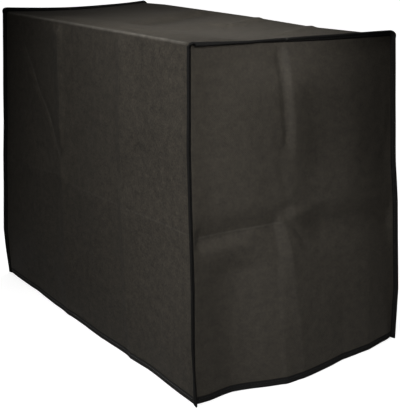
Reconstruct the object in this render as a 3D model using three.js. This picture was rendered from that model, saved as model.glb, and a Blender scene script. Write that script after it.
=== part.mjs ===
// A dust cover for a worktop air fryer oven: a soft box of thin non-woven cloth, open underneath.
// Millimetres, Z up. X runs along the cover, the front wall faces -Y and the right end faces +X.
// The origin is the middle of the top's underside, where the appliance would hold the cover up.
import * as THREE from "three";
import { mergeVertices } from "three/addons/utils/BufferGeometryUtils.js";

// Driving sizes of the cover as it was cut.
const length = 510;
const depth = 270;
const height = 376;
const edgeRadius = 4;
const clothThickness = 1.0;
const tapeThickness = 0.7;
const clearance = 0.56;

// The end seams are turned outwards as a fin of this width, which the seam tape wraps.
// Round a top corner it stands out further, because its own corner is squarer than the seam's.
const finWidth = 5;
const finCornerGain = 0.34;
const seamTapeStart = 0.9;
const seamTapeTail = 1;
const hemTapeWidth = 7;
const hemTapeStartFromSeam = 4;

// Past the edge of the cloth, where a folded tape begins to turn, how far it reaches, and its corner cut.
const tapeTurn = { begins: 0.2, reach: 1, corner: 0.6 };

// The cloth was stored folded in half, which left a crease round all four walls this far below the top.
const halfFoldDrop = 198;
const frontFoldX = [-60, 90];
const endFoldY = -25;

// How many cells the cloth is drawn with, and how far the first one beside a seam reaches.
const cells = {
  belowFold: 7,
  aboveFold: 7,
  edgeArc: 4,
  topBeforeFold: 4,
  topAfterFold: 6,
  bodyLeft: 8,
  bodyMiddle: 6,
  bodyRight: 7,
};
const besideSeam = 24;

// The turned-out cloth's corner, where the seam turns over the top's edge, is cut this far from its point.
const cornerTipShare = 1 / 3;

// Where the four corners stand, as [x, y] at each drop from the top: the empty cover leans and flares.
const cornerPosts = {
  front: [
    { drop: 0, left: [-247, -116], right: [249, -144] },
    { drop: 110, left: [-247, -123], right: [249, -145] },
    { drop: 150, left: [-247, -125], right: [250, -145] },
    { drop: 198, left: [-247, -129], right: [253, -146] },
    { drop: 250, left: [-247, -132], right: [255, -146] },
    { drop: 310, left: [-247, -136], right: [256, -147] },
    { drop: 376, left: [-246, -134], right: [257, -147] },
  ],
  back: [
    { drop: 0, left: [-262, 123], right: [251, 128] },
    { drop: 110, left: [-261, 131], right: [252, 135] },
    { drop: 150, left: [-261, 134], right: [252, 138] },
    { drop: 198, left: [-260, 137], right: [253, 144] },
    { drop: 250, left: [-259, 139], right: [253, 148] },
    { drop: 310, left: [-258, 141], right: [254, 152] },
    { drop: 376, left: [-257, 140], right: [254, 151] },
  ],
};

// The top is not level: each corner stands this far above the middle, and the edges sag between them.
const cornerRise = { front: { left: 7.3, right: 0.5 }, back: { left: 13, right: -6.2 } };
const endEdgeSag = { left: 4, right: 2 };
const backEdgeSag = [
  { x: -255, down: 0 },
  { x: 0, down: 0.6 },
  { x: 130, down: 2.8 },
  { x: 255, down: 0 },
];

// The angle of the seam fin at each end, from the X axis towards the body cloth's outward side.
const finLean = {
  right: { frontHem: 45, front: 45, top: 64, back: 14, backHem: 14 },
  left: { frontHem: 15, front: 45, top: 62, back: 42, backHem: 42 },
};
const finTurnDrop = 300;

// How far each hem stands out in plan. The right end's does most, beside its middle crease.
const frontHemBulge = [
  { x: -255, out: 0 },
  { x: 40, out: 1 },
  { x: 150, out: -2.5 },
  { x: 255, out: 0 },
];
const rightHemBulge = [
  { y: -135, out: 0 },
  { y: -118, out: 4 },
  { y: -90, out: 7 },
  { y: -55, out: 17 },
  { y: -35, out: 21 },
  { y: -20, out: 18 },
  { y: 30, out: 13 },
  { y: 50, out: 9.5 },
  { y: 90, out: 9 },
  { y: 135, out: 0 },
];
const leftHemBulge = [
  { y: -135, out: 0 },
  { y: -40, out: 7 },
  { y: 10, out: 11 },
  { y: 80, out: 5 },
  { y: 135, out: 0 },
];

// The folds pressed into each wall. The front, back and top walls place them by X, the ends by Y, and then
// by the drop from the top, or by Y on the top. A positive rise stands out. The reach is how far the fold
// spreads: to smaller and to larger X or Y beside a steep one, above and below a level one.
const folds = {
  front: [
    { name: "left upright", from: [-62, 8], to: [-59, 160], rise: 3.4, reach: [48, 26] },
    { name: "left upright, lower", from: [-59, 160], to: [-56, 376], rise: 1.6, reach: [24, 24] },
    { name: "slanting crease", from: [-195, 22], to: [-60, 162], rise: -1.8, reach: [26, 26] },
    { name: "right upright", from: [84, 8], to: [93, 376], rise: 1.3, reach: [22, 22] },
    { name: "half fold, left part", from: [-255, 200], to: [-60, 192], rise: 2.2, reach: [30, 30] },
    { name: "half fold", from: [-60, 198], to: [255, 198], rise: 1.6, reach: [24, 24] },
    { name: "handling dent, large", from: [181, 82], to: [96, 170], rise: -2.6, reach: [30, 30] },
    { name: "handling dent, small", from: [26, 115], to: [-20, 156], rise: -1.8, reach: [28, 28] },
  ],
  back: [
    { name: "half fold", from: [-255, 198], to: [255, 198], rise: 2.2, reach: [26, 26] },
    { name: "left upright", from: [-60, 8], to: [-60, 376], rise: 2, reach: [26, 26] },
    { name: "right upright", from: [90, 8], to: [90, 376], rise: -2, reach: [26, 26] },
  ],
  top: [
    { name: "long slant ridge", from: [-133, 112], to: [40, -90], rise: 2.6, reach: [26, 22] },
    { name: "long slant valley", from: [-92, 100], to: [62, -78], rise: -2.6, reach: [24, 34] },
    { name: "middle slant ridge", from: [22, 120], to: [88, 26], rise: 1.8, reach: [28, 28] },
    { name: "right slant ridge", from: [122, 112], to: [190, 24], rise: 1.8, reach: [28, 28] },
  ],
  right: [
    { name: "middle valley, upper", from: [-36, 6], to: [-22, 70], rise: -5, reach: [26, 26] },
    { name: "middle valley", from: [-22, 70], to: [-25, 198], rise: -5, reach: [26, 26] },
    { name: "half fold, front part", from: [-135, 195], to: [-25, 198], rise: -3, reach: [30, 30] },
    { name: "half fold, back part", from: [-25, 198], to: [135, 201], rise: 4.5, reach: [60, 42] },
    { name: "middle ridge, lower", from: [-26, 204], to: [-12, 376], rise: 3, reach: [18, 40] },
    { name: "short dent beside the middle", from: [-10, 207], to: [5, 232], rise: -1.6, reach: [12, 12] },
  ],
  left: [
    { name: "middle valley", from: [-10, 6], to: [-6, 198], rise: -4, reach: [26, 26] },
    { name: "half fold", from: [-135, 198], to: [135, 198], rise: 3, reach: [30, 30] },
  ],
};

// A fold dies away over this distance at its ends and where the wall meets a seam or a top edge.
const foldFade = 18;
const edgeFade = 26;

const degrees = Math.PI / 180;
const hemZ = -height;

function clamp01(value) {
  return Math.min(1, Math.max(0, value));
}

function smooth(value) {
  const t = clamp01(value);
  return t * t * (3 - 2 * t);
}

function mix(a, b, t) {
  return a + (b - a) * t;
}

// Reads a table whose rows are sorted by one column, mixing the two rows on either side.
function fromTable(rows, key, value, read) {
  let upper = 1;
  while (upper < rows.length - 1 && rows[upper][key] < value) {
    upper += 1;
  }
  const low = rows[upper - 1];
  const high = rows[upper];
  const t = clamp01((value - low[key]) / (high[key] - low[key]));
  return mix(read(low), read(high), t);
}

// Mixes what the four corners hold, for a place that is so far to the right and so far to the back.
function mixCorners(valueAt, right, back) {
  const front = mix(valueAt("front", "left"), valueAt("front", "right"), right);
  const rear = mix(valueAt("back", "left"), valueAt("back", "right"), right);
  return mix(front, rear, back);
}

// Moves a point of the box as cut to where it stands on the leaning, flaring cover.
function settle(point) {
  const right = clamp01(point.x / length + 0.5);
  const back = clamp01(point.y / depth + 0.5);
  const drop = clamp01(-point.z / height) * height;
  const postShift = (axis) => (wall, side) => {
    const cut = [side === "right" ? length / 2 : -length / 2, wall === "back" ? depth / 2 : -depth / 2];
    return fromTable(cornerPosts[wall], "drop", drop, (row) => row[side][axis]) - cut[axis];
  };
  const endSag = mix(endEdgeSag.left, endEdgeSag.right, right) * Math.sin(Math.PI * back);
  const backSag = fromTable(backEdgeSag, "x", point.x, (row) => row.down) * back;
  const rise = mixCorners((wall, side) => cornerRise[wall][side], right, back) - endSag - backSag;
  const nearTop = 1 - drop / height;
  return new THREE.Vector3(
    point.x + mixCorners(postShift(0), right, back),
    point.y + mixCorners(postShift(1), right, back),
    point.z + rise * nearTop,
  );
}

// How far one fold lifts the cloth at a place on its wall: full on its line and nothing beyond its reach.
function foldLift(fold, across, down) {
  const [startAcross, startDown] = fold.from;
  const runAcross = fold.to[0] - startAcross;
  const runDown = fold.to[1] - startDown;
  const run = Math.hypot(runAcross, runDown);
  const awayAcross = across - startAcross;
  const awayDown = down - startDown;
  const along = (awayAcross * runAcross + awayDown * runDown) / run;
  const level = Math.abs(runAcross) > Math.abs(runDown);
  const turned = level ? runAcross > 0 : runDown < 0;
  const off = ((awayAcross * runDown - awayDown * runAcross) / run) * (turned ? -1 : 1);
  const reach = off < 0 ? fold.reach[0] : fold.reach[1];
  const side = clamp01(1 - Math.abs(off) / reach);
  const ends = smooth((along + foldFade) / foldFade) * smooth((run + foldFade - along) / foldFade);
  return fold.rise * side * ends;
}

function wallRelief(wall, across, down, edgeDistance) {
  let lift = 0;
  for (const fold of folds[wall]) {
    lift += foldLift(fold, across, down);
  }
  return lift * smooth(edgeDistance / edgeFade);
}

// Below the half fold a wall swings out or in, until its hem follows the table.
function hemBulge(rows, key, value, drop) {
  const lower = clamp01((drop - halfFoldDrop) / (height - halfFoldDrop));
  return fromTable(rows, key, value, (row) => row.out) * lower;
}

function evenSteps(from, to, count) {
  const steps = [];
  for (let i = 0; i < count; i += 1) {
    steps.push(mix(from, to, i / count));
  }
  return steps;
}

// The girth: the line that both cloths of an end seam follow, from the front hem over the top to the back.
// The turn is the angle of the cloth's outward side, 0 at the front, 90 on top and 180 at the back.
function makeGirth() {
  const wallDrops = [
    ...evenSteps(height, halfFoldDrop, cells.belowFold),
    ...evenSteps(halfFoldDrop, edgeRadius, cells.aboveFold),
  ];
  const topFrontY = -depth / 2 + edgeRadius;
  const topBackY = depth / 2 - edgeRadius;
  const topSteps = [
    ...evenSteps(topFrontY, endFoldY, cells.topBeforeFold),
    ...evenSteps(endFoldY, topBackY, cells.topAfterFold),
  ];
  const stations = [];
  for (const drop of wallDrops) {
    stations.push({ y: -depth / 2, z: -drop, turn: 0 });
  }
  const addArc = (centreY, fromTurn) => {
    for (let i = 0; i < cells.edgeArc; i += 1) {
      const turn = fromTurn + (90 * i) / cells.edgeArc;
      const y = centreY - edgeRadius * Math.cos(turn * degrees);
      const z = -edgeRadius + edgeRadius * Math.sin(turn * degrees);
      stations.push({ y, z, turn });
    }
  };
  addArc(topFrontY, 0);
  for (const y of topSteps) {
    stations.push({ y, z: 0, turn: 90 });
  }
  addArc(topBackY, 90);
  stations.push({ y: depth / 2, z: -edgeRadius, turn: 180 });
  for (const drop of wallDrops.toReversed()) {
    stations.push({ y: depth / 2, z: -drop, turn: 180 });
  }
  return stations;
}

const girth = makeGirth();
const wallCells = cells.belowFold + cells.aboveFold;
const cornerCells = cells.edgeArc / 2;

function outward(turn) {
  return new THREE.Vector3(0, -Math.cos(turn * degrees), Math.sin(turn * degrees));
}

// The fin's own directions at a station: out along its width, and across it towards the body cloth.
function finFrame(side, station) {
  const lean = finLean[side];
  const hemward = smooth((-station.z - finTurnDrop) / (height - finTurnDrop));
  let angle;
  if (station.turn <= 90) {
    const wall = mix(lean.front, lean.frontHem, hemward);
    angle = mix(wall, lean.top, station.turn / 90);
  } else {
    const wall = mix(lean.back, lean.backHem, hemward);
    angle = mix(lean.top, wall, station.turn / 90 - 1);
  }
  const away = new THREE.Vector3(side === "right" ? 1 : -1, 0, 0);
  const up = outward(station.turn);
  const cos = Math.cos(angle * degrees);
  const sin = Math.sin(angle * degrees);
  const out = away.clone().multiplyScalar(cos).addScaledVector(up, sin);
  const toBody = away.clone().multiplyScalar(-sin).addScaledVector(up, cos);
  return { out, toBody };
}

// A point of the fin: so far out from the seam, and so far across it towards the body cloth.
function finPoint(side, station, out, across) {
  const x = side === "right" ? length / 2 : -length / 2;
  const frame = finFrame(side, station);
  const seam = settle(new THREE.Vector3(x, station.y, station.z));
  const reach = out * (1 + finCornerGain * Math.sin(2 * station.turn * degrees) ** 2);
  return seam.addScaledVector(frame.out, reach).addScaledVector(frame.toBody, across);
}

const plyOffset = (clothThickness + clearance) / 2;

// A grid of points with the outward side at each, worked out from the neighbours.
function makeGrid(columns, rows, pointAt) {
  const points = [];
  for (let i = 0; i <= columns; i += 1) {
    const line = [];
    for (let j = 0; j <= rows; j += 1) {
      line.push(pointAt(i, j));
    }
    points.push(line);
  }
  const point = (i, j) => points[i][j];
  const normal = (i, j) => {
    const alongI = point(Math.min(i + 1, columns), j).clone().sub(point(Math.max(i - 1, 0), j));
    const alongJ = point(i, Math.min(j + 1, rows)).clone().sub(point(i, Math.max(j - 1, 0)));
    return alongI.cross(alongJ).normalize();
  };
  return { columns, rows, point, normal };
}

// A sheet of even thickness whose middle is a grid: a slab of cells with every corner moved to its place.
function sheetGeometry(grid, thickness) {
  const slab = new THREE.BoxGeometry(grid.columns, grid.rows, 1, grid.columns, grid.rows, 1);
  slab.deleteAttribute("normal");
  slab.deleteAttribute("uv");
  const places = slab.getAttribute("position");
  for (let k = 0; k < places.count; k += 1) {
    const i = Math.round(places.getX(k) + grid.columns / 2);
    const j = Math.round(places.getY(k) + grid.rows / 2);
    const side = Math.sign(places.getZ(k));
    const place = grid.point(i, j).clone().addScaledVector(grid.normal(i, j), (side * thickness) / 2);
    places.setXYZ(k, place.x, place.y, place.z);
  }
  return mergeVertices(slab);
}

// The columns of the body cloth between its two fins.
const bodyColumns = [
  -length / 2 + hemTapeStartFromSeam,
  ...evenSteps(-length / 2 + besideSeam, frontFoldX[0], cells.bodyLeft - 1),
  ...evenSteps(frontFoldX[0], frontFoldX[1], cells.bodyMiddle),
  ...evenSteps(frontFoldX[1], length / 2 - besideSeam, cells.bodyRight - 1),
  length / 2 - besideSeam,
  length / 2 - hemTapeStartFromSeam,
];

function bodyPoint(x, station) {
  const fromEnd = length / 2 - Math.abs(x);
  const drop = -station.z;
  let lift = 0;
  if (station.turn === 0 || station.turn === 180) {
    const wall = station.turn === 0 ? "front" : "back";
    lift = wallRelief(wall, x, drop, Math.min(fromEnd, drop - edgeRadius));
    lift += station.turn === 0 ? hemBulge(frontHemBulge, "x", x, drop) : 0;
  } else if (station.turn === 90) {
    const fromEdge = depth / 2 - edgeRadius - Math.abs(station.y);
    lift = wallRelief("top", x, station.y, Math.min(fromEnd, fromEdge));
  }
  return settle(new THREE.Vector3(x, station.y, station.z)).addScaledVector(outward(station.turn), lift);
}

// Front, top and back in one length of cloth, with the seam allowance of each end turned out.
const bodyGrid = makeGrid(bodyColumns.length + 3, girth.length - 1, (i, j) => {
  const station = girth[j];
  const last = bodyColumns.length + 3;
  if (i <= 1) {
    return finPoint("left", station, i === 0 ? finWidth : 0, plyOffset);
  }
  if (i >= last - 1) {
    return finPoint("right", station, i === last ? finWidth : 0, plyOffset);
  }
  return bodyPoint(bodyColumns[i - 2], station);
});

// The right or left end. Its outer ring is the seam allowance, and inside that the cells spread evenly
// between the seam's stations on the front, the top and the back.
function endGrid(side) {
  const away = side === "right" ? 1 : -1;
  const innerColumns = girth.length - 1 - 2 * (wallCells + cornerCells);
  const innerRows = wallCells + cornerCells;
  const frontAt = (row) => girth[row];
  const backAt = (row) => girth[girth.length - 1 - row];
  const topAt = (column) => girth[innerRows + column];
  const hemY = (column) => {
    const fromSeam = Math.min(column, innerColumns - column);
    if (fromSeam < cornerCells) {
      const inset = (edgeRadius * fromSeam) / cornerCells;
      return (column < cornerCells ? -1 : 1) * (depth / 2 - inset);
    }
    return topAt(column).y;
  };
  const inner = (column, row) => {
    const rowShare = (frontAt(row).z - hemZ) / (frontAt(innerRows).z - hemZ);
    const columnShare = (hemY(column) + depth / 2) / depth;
    const hem = { y: hemY(column), z: hemZ };
    const corner = (end, top) => {
      const z = top ? frontAt(innerRows).z : hemZ;
      const y = top ? frontAt(innerRows).y : -depth / 2;
      return { y: end === "front" ? y : -y, z };
    };
    const blend = (key) => {
      const upright = mix(frontAt(row)[key], backAt(row)[key], columnShare);
      const level = mix(hem[key], topAt(column)[key], rowShare);
      const low = mix(corner("front", false)[key], corner("back", false)[key], columnShare);
      const high = mix(corner("front", true)[key], corner("back", true)[key], columnShare);
      return upright + level - mix(low, high, rowShare);
    };
    return { y: blend("y"), z: blend("z") };
  };
  const bulgeRows = side === "right" ? rightHemBulge : leftHemBulge;
  const wallPoint = (column, row) => {
    const { y, z } = inner(column, row);
    const fromSeam = Math.min(depth / 2 - Math.abs(y), -z);
    const lift = wallRelief(side, y, -z, fromSeam) + hemBulge(bulgeRows, "y", y, -z);
    const place = settle(new THREE.Vector3((away * length) / 2, y, z));
    place.x += away * lift;
    return place;
  };
  const ring = (station, out) => finPoint(side, station, out, -plyOffset);
  const columns = innerColumns + 2;
  const rows = innerRows + 1;
  const tipNearCorner = (corner, neighbour) => {
    return ring(corner, finWidth).lerp(ring(neighbour, finWidth), cornerTipShare);
  };
  const pointAt = (i, j) => {
    const column = i - 1;
    const row = Math.min(j, innerRows);
    const atTop = j === rows;
    if (i === 0 || i === columns) {
      const stationAt = i === 0 ? frontAt : backAt;
      if (j === innerRows) {
        return tipNearCorner(stationAt(innerRows), stationAt(innerRows - 1));
      }
      return ring(stationAt(row), finWidth);
    }
    if (atTop) {
      if (column === 0) {
        return tipNearCorner(topAt(0), topAt(1));
      }
      if (column === innerColumns) {
        return tipNearCorner(topAt(innerColumns), topAt(innerColumns - 1));
      }
      return ring(topAt(column), finWidth);
    }
    if (column === 0) {
      return ring(frontAt(row), 0);
    }
    if (column === innerColumns) {
      return ring(backAt(row), 0);
    }
    if (row === innerRows) {
      return ring(topAt(column), 0);
    }
    return wallPoint(column, row);
  };
  // Counting the columns backwards on the left end keeps its outward side outwards.
  return makeGrid(columns, rows, (i, j) => pointAt(side === "right" ? i : columns - i, j));
}

// A tape folded over the fin: from its root on the body's side, round its edge, and back on the end's side.
function seamTapeGrid(side) {
  const faceOffset = plyOffset + clothThickness / 2 + clearance + tapeThickness / 2;
  const section = [
    { out: seamTapeStart, across: faceOffset },
    { out: finWidth + tapeTurn.begins, across: faceOffset },
    { out: finWidth + tapeTurn.reach, across: faceOffset - tapeTurn.corner },
    { out: finWidth + tapeTurn.reach, across: tapeTurn.corner - faceOffset },
    { out: finWidth + tapeTurn.begins, across: -faceOffset },
    { out: seamTapeStart, across: -faceOffset },
  ];
  const tail = new THREE.Vector3(0, 0, -seamTapeTail);
  const rows = girth.length + 1;
  return makeGrid(section.length - 1, rows, (i, j) => {
    const k = side === "right" ? section.length - 1 - i : i;
    const station = girth[Math.min(Math.max(j - 1, 0), girth.length - 1)];
    const place = finPoint(side, station, section[k].out, section[k].across);
    return j === 0 || j === rows ? place.add(tail) : place;
  });
}

// A tape folded over a wall's hem, inside and out, along the given columns of the wall's grid.
function hemTapeGrid(wall, firstColumn, lastColumn, hemRow, rowAbove) {
  const faceOffset = clothThickness / 2 + clearance + tapeThickness / 2;
  const section = [
    { up: hemTapeWidth, out: faceOffset },
    { up: -tapeTurn.begins, out: faceOffset },
    { up: -tapeTurn.reach, out: faceOffset - tapeTurn.corner },
    { up: -tapeTurn.reach, out: tapeTurn.corner - faceOffset },
    { up: -tapeTurn.begins, out: -faceOffset },
    { up: hemTapeWidth, out: -faceOffset },
  ];
  const columns = lastColumn - firstColumn;
  return makeGrid(columns, section.length - 1, (i, j) => {
    const hem = wall.point(firstColumn + i, hemRow);
    const above = wall.point(firstColumn + i, rowAbove).clone().sub(hem);
    const place = hem.clone().addScaledVector(above.normalize(), section[j].up);
    return place.addScaledVector(wall.normal(firstColumn + i, hemRow), section[j].out);
  });
}

const clothMaterial = new THREE.MeshStandardMaterial({ color: 0x37332e, roughness: 0.9, metalness: 0 });
const tapeMaterial = new THREE.MeshStandardMaterial({ color: 0x15140f, roughness: 0.8, metalness: 0 });

const cover = new THREE.Group();

function addPiece(name, grid, thickness, material) {
  const piece = new THREE.Mesh(sheetGeometry(grid, thickness), material);
  piece.name = name;
  cover.add(piece);
}

const ends = { right: endGrid("right"), left: endGrid("left") };

addPiece("body_panel", bodyGrid, clothThickness, clothMaterial);
addPiece("end_panel_right", ends.right, clothThickness, clothMaterial);
addPiece("end_panel_left", ends.left, clothThickness, clothMaterial);
addPiece("seam_binding_right", seamTapeGrid("right"), tapeThickness, tapeMaterial);
addPiece("seam_binding_left", seamTapeGrid("left"), tapeThickness, tapeMaterial);

const lastBodyRow = girth.length - 1;
const bodyHemEnd = bodyColumns.length + 1;
addPiece("hem_binding_front", hemTapeGrid(bodyGrid, 2, bodyHemEnd, 0, 1), tapeThickness, tapeMaterial);
addPiece(
  "hem_binding_back",
  hemTapeGrid(bodyGrid, 2, bodyHemEnd, lastBodyRow, lastBodyRow - 1),
  tapeThickness,
  tapeMaterial,
);
for (const side of ["right", "left"]) {
  const first = 1 + cornerCells;
  const grid = hemTapeGrid(ends[side], first, ends[side].columns - first, 0, 1);
  addPiece(`hem_binding_${side}`, grid, tapeThickness, tapeMaterial);
}

export default cover;
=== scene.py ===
# %% [markdown]
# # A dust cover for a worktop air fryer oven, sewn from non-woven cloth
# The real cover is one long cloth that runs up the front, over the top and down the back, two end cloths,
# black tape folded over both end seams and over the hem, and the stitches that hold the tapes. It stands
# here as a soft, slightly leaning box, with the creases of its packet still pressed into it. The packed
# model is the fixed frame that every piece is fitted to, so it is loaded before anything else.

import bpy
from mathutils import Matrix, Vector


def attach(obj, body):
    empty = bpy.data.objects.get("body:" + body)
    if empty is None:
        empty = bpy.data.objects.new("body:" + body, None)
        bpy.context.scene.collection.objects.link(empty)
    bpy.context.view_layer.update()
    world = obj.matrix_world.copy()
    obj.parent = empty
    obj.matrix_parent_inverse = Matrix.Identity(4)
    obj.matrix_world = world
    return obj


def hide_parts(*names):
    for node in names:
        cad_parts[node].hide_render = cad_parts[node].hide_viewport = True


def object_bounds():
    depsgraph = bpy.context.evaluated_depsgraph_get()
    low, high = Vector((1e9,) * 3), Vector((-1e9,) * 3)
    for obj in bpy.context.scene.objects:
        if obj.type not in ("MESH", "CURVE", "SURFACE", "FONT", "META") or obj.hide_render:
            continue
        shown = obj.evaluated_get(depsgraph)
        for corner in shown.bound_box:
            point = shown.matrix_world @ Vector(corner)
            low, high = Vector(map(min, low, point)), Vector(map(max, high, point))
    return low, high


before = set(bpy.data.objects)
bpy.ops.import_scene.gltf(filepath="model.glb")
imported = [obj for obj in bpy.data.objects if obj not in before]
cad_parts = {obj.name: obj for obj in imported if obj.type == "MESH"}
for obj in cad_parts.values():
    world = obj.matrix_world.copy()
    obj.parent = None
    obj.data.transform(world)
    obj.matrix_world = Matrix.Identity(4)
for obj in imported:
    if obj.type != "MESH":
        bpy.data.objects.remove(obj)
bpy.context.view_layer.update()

# %% [markdown]
# Blender's own modules come next. A mesh is built in a bmesh, which holds vertices, edges and faces while
# they are being worked on. Vectors and matrices come from mathutils, and so does the Perlin noise.

# %% The modules that the lesson uses
import math
from collections import namedtuple

import bmesh
import bpy
from mathutils import Matrix, Vector, noise

mm = 0.001
scene = bpy.context.scene
print("Blender", bpy.app.version_string)

# %% [markdown]
# ## The camera
# The cover was seen from about a metre away, past its right front corner and from a little above. A long
# lens keeps the uprights nearly parallel. The place and the angles are set once, in the cover's own
# frame, so that the shape can be judged from the very start. Three directions at right angles turn the
# camera: to its back, to its right and up.

# %% Camera
camera_place = Vector((0.9676, -0.6338, 0.0791))
view_azimuth = math.radians(55.12)
view_elevation = math.radians(15.33)
view_roll = math.radians(-0.36)
picture_width = 400
focal_length_in_pixels = 899.2

back = Vector((
    math.sin(view_azimuth) * math.cos(view_elevation),
    -math.cos(view_azimuth) * math.cos(view_elevation),
    math.sin(view_elevation),
))
level_right = (-back).cross(Vector((0, 0, 1))).normalized()
level_up = level_right.cross(-back)
right = level_right * math.cos(view_roll) + level_up * math.sin(view_roll)
up = level_up * math.cos(view_roll) - level_right * math.sin(view_roll)

camera_data = bpy.data.cameras.new("camera")
camera_data.sensor_fit = "HORIZONTAL"
camera_data.sensor_width = 36
camera_data.lens = focal_length_in_pixels / picture_width * camera_data.sensor_width
camera = bpy.data.objects.new("camera", camera_data)
scene.collection.objects.link(camera)
axes = Matrix((right, up, back)).transposed().to_4x4()
camera.matrix_world = Matrix.Translation(camera_place) @ axes
scene.camera = camera
print("lens", round(camera_data.lens, 2), "mm")

# %% [markdown]
# ## The sizes of the cut cloth
# A pattern cutter works in millimetres, so the shape is worked out in them and becomes metres when a mesh
# is finished. X runs along the cover, the front wall faces -Y and the right end faces +X. Both cloths of
# an end seam are turned outwards, and the tape wraps them as a narrow fin.

# %% Sizes of the cover as it was cut
length = 510
depth = 270
height = 376
edge_radius = 3
cloth_thickness = 0.6
tape_thickness = 0.45
clearance = 0.15
fin_width = 5
seam_turn = 0.9
hem_tape_width = 7
half_fold_drop = 198
ply_offset = (cloth_thickness + clearance) / 2
seam_tape_offset = ply_offset + cloth_thickness / 2 + clearance + tape_thickness / 2
hem_tape_offset = cloth_thickness / 2 + clearance + tape_thickness / 2
hem_z = -height
print("cut size", (length, depth, height), "mm")

# %% [markdown]
# An empty cover leans and flares, because nothing fills it. Blender could bend a plain box with a
# lattice, but a short table of where each corner stands, from the top down to the hem, is easier to read
# against the real cover. Each row gives the corner's X and Y at one drop from the top. The top itself
# sags a little along its ends and its back edge.

# %% Where the corners of the cover stand
corner_posts = {
    "front": [
        dict(drop=0, left=(-247, -116), right=(249, -144)),
        dict(drop=110, left=(-247, -123), right=(249, -145)),
        dict(drop=150, left=(-247, -125), right=(250, -145)),
        dict(drop=198, left=(-247, -129), right=(253, -146)),
        dict(drop=250, left=(-247, -132), right=(255, -146)),
        dict(drop=310, left=(-247, -136), right=(256, -147)),
        dict(drop=376, left=(-246, -134), right=(257, -147)),
    ],
    "back": [
        dict(drop=0, left=(-262, 123), right=(251, 128)),
        dict(drop=110, left=(-261, 131), right=(252, 135)),
        dict(drop=150, left=(-261, 134), right=(252, 138)),
        dict(drop=198, left=(-260, 137), right=(253, 144)),
        dict(drop=250, left=(-259, 139), right=(253, 148)),
        dict(drop=310, left=(-258, 141), right=(254, 152)),
        dict(drop=376, left=(-257, 140), right=(254, 151)),
    ],
}
corner_rise = {"front": dict(left=7.3, right=0.5), "back": dict(left=11.3, right=-6.2)}
end_edge_sag = dict(left=4, right=2)
back_edge_sag = [
    dict(x=-255, down=0),
    dict(x=-200, down=-1.4),
    dict(x=0, down=-0.25),
    dict(x=130, down=2.4),
    dict(x=255, down=0),
]
for wall, posts in corner_posts.items():
    print(wall, "wall is", posts[-1]["right"][0] - posts[-1]["left"][0], "mm long at the hem")

# %% [markdown]
# The hems don't run straight from corner to corner. Seen from above they bulge out or draw in, most of
# all the right one, which stands out in one deep wave in front of its middle. The bulge grows from
# nothing at the half fold to its full size at the hem.

# %% How far each hem stands out in plan
front_hem_bulge = [dict(x=-255, out=0), dict(x=40, out=1), dict(x=150, out=-2.5), dict(x=255, out=0)]
right_hem_bulge = [
    dict(y=-135, out=0),
    dict(y=-118, out=4),
    dict(y=-90, out=7),
    dict(y=-55, out=17),
    dict(y=-35, out=21),
    dict(y=-20, out=18),
    dict(y=30, out=13),
    dict(y=50, out=9.5),
    dict(y=90, out=9),
    dict(y=135, out=0),
]
left_hem_bulge = [
    dict(y=-135, out=0),
    dict(y=-40, out=7),
    dict(y=10, out=11),
    dict(y=80, out=5),
    dict(y=135, out=0),
]
print("deepest wave", max(row["out"] for row in right_hem_bulge), "mm, in the right hem")

# %% [markdown]
# The end seams are turned outwards, so each stands up from the cover as a narrow fin, and it leans one
# way on the walls and another on top. The angles are in degrees from the X axis, towards the body cloth's
# outward side. Lower down the wall the fin turns to its lean at the hem. Round a top corner it is
# stretched or drawn in, and the gain says by how much.

# %% How the seam fins lean
fin_lean = {
    "right": dict(front_hem=18, front=50, top=-24, top_back=62, back=14, back_hem=14),
    "left": dict(front_hem=15, front=45, top=62, top_back=28, back=42, back_hem=42),
}
fin_turn_drop = dict(right=300, left=330)
fin_corner_gain = {"right": dict(front=0.3, back=0.1), "left": dict(front=0.3, back=-0.3)}
print("the right fin leans", fin_lean["right"]["front"], "degrees at the front")

# %% [markdown]
# ## The folds
# A non-woven cloth keeps every fold of its packet. The half fold runs round all four walls, the uprights
# come from folding the long walls in three, and the slanting ones were pressed in by handling. They have
# three forms. A crease has a sharp line and dies away on both sides. A facet is flat from its line to the
# end of its reach. A dent is soft all over.

# %% The three forms of a fold
def crease(**fold):
    return dict(form="crease", **fold)


def facet(**fold):
    return dict(form="facet", **fold)


def dent(**fold):
    return dict(form="dent", **fold)


print("forms of a fold:", ", ".join(form.__name__ for form in (crease, facet, dent)))
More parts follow.
